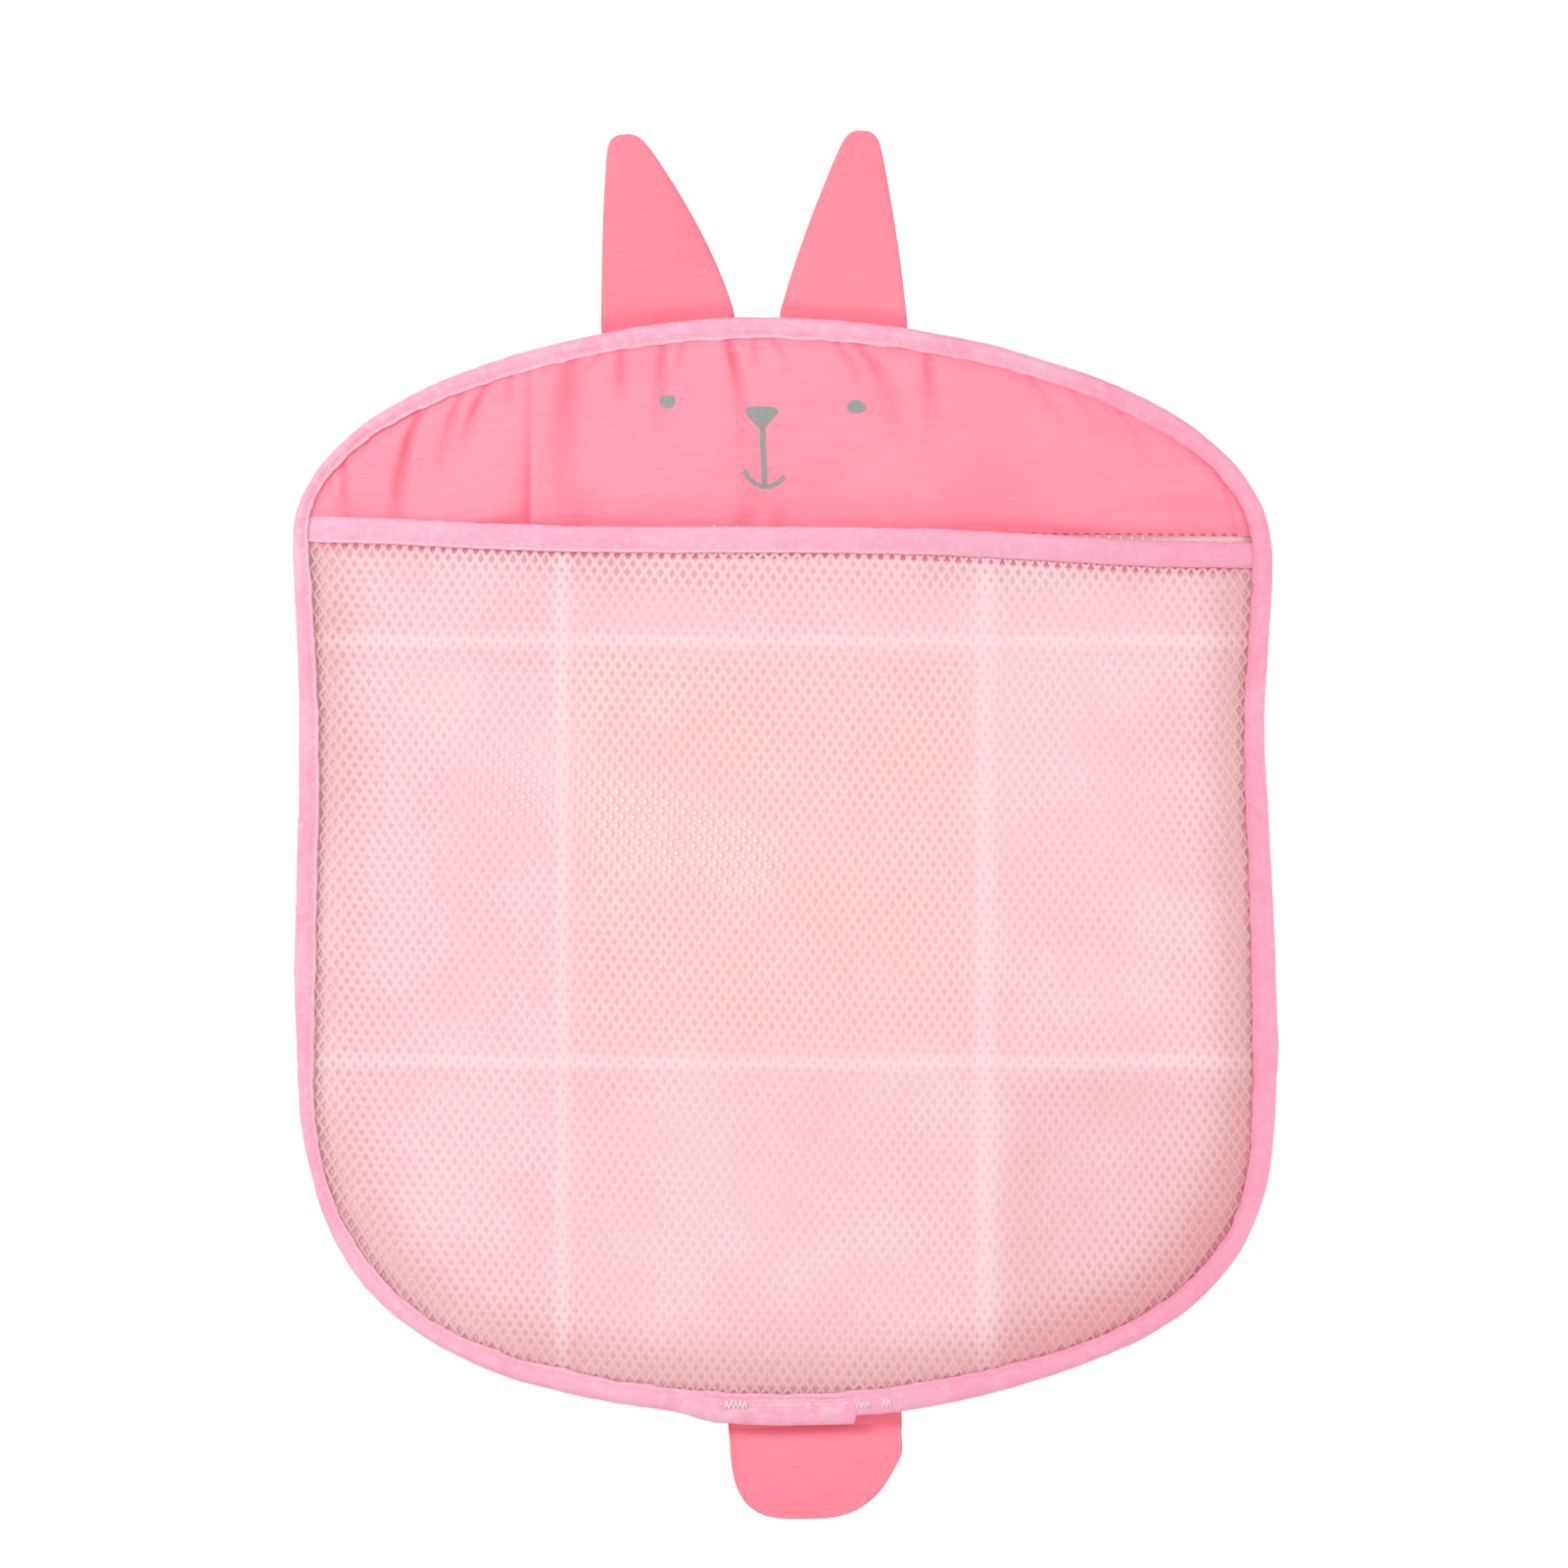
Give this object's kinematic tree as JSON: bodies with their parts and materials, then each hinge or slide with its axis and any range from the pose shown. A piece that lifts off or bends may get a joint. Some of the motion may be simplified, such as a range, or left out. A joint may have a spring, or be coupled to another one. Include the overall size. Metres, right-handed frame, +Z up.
{
  "type": "bath toy organizer",
  "caption": "Flat net bag with a rabbit outline, fabric face, padded ears and tail, open at the top of its net pocket, hung on a wall by suction cup hooks to hold and drain bath toys.",
  "frame": {"origin": "on the wall plane, midway between the centres of the two suction cups", "axes": "+Z up, +Y into the wall, +X to the right of someone who faces the bag's front"},
  "size_m": [0.3492, 0.0497, 0.4929],
  "materials": {
    "net": "knitted polyester net",
    "face_fabric": "plain weave polyester",
    "ribbon": "satin-edged ribbon",
    "wadding": "soft",
    "ink": "matte print",
    "clear_vinyl": "clear, glossy",
    "hook_plastic": "clear moulded"
  },
  "bodies": {
    "wall_fixings": {"suction_cup_left": "clear_vinyl", "suction_cup_right": "clear_vinyl", "wall_hook_left": "hook_plastic", "wall_hook_right": "hook_plastic"},
    "bag": {"back_net": "net", "front_net": "net", "face_panel": "face_fabric", "edge_binding": "ribbon", "mouth_binding": "ribbon", "eye_print_left": "ink", "eye_print_right": "ink", "nose_mouth_print": "ink", "hanging_loop_left": "ribbon", "hanging_loop_right": "ribbon", "ear_left_allowance": "face_fabric", "ear_right_allowance": "face_fabric", "tail_allowance": "face_fabric"},
    "ear_left": {"ear_left_front": "face_fabric", "ear_left_back": "face_fabric", "ear_left_wadding": "wadding"},
    "ear_right": {"ear_right_front": "face_fabric", "ear_right_back": "face_fabric", "ear_right_wadding": "wadding"},
    "tail": {"tail_front": "face_fabric", "tail_back": "face_fabric", "tail_wadding": "wadding"}
  },
  "joints": [
    {"name": "bag_lift_off", "type": "slide", "parent": "wall_fixings", "child": "bag", "axis": [0, 0, 1], "range_m": [0, 0.03]},
    {"name": "ear_left_flop", "type": "hinge", "parent": "bag", "child": "ear_left", "pos_m": [-0.03127, -0.02235, 0.00406], "axis": [0.9947, 0, 0.1031], "range_deg": [-15, 75], "stiffness_Nm_per_rad": 0.012},
    {"name": "ear_right_flop", "type": "hinge", "parent": "bag", "child": "ear_right", "pos_m": [0.03121, -0.02235, 0.00445], "axis": [0.9968, 0, -0.0794], "range_deg": [-15, 75], "stiffness_Nm_per_rad": 0.012},
    {"name": "tail_swing", "type": "hinge", "parent": "bag", "child": "tail", "pos_m": [0.02189, -0.02145, -0.38803], "axis": [0.9995, 0, 0.033], "range_deg": [-75, 28]}
  ]
}
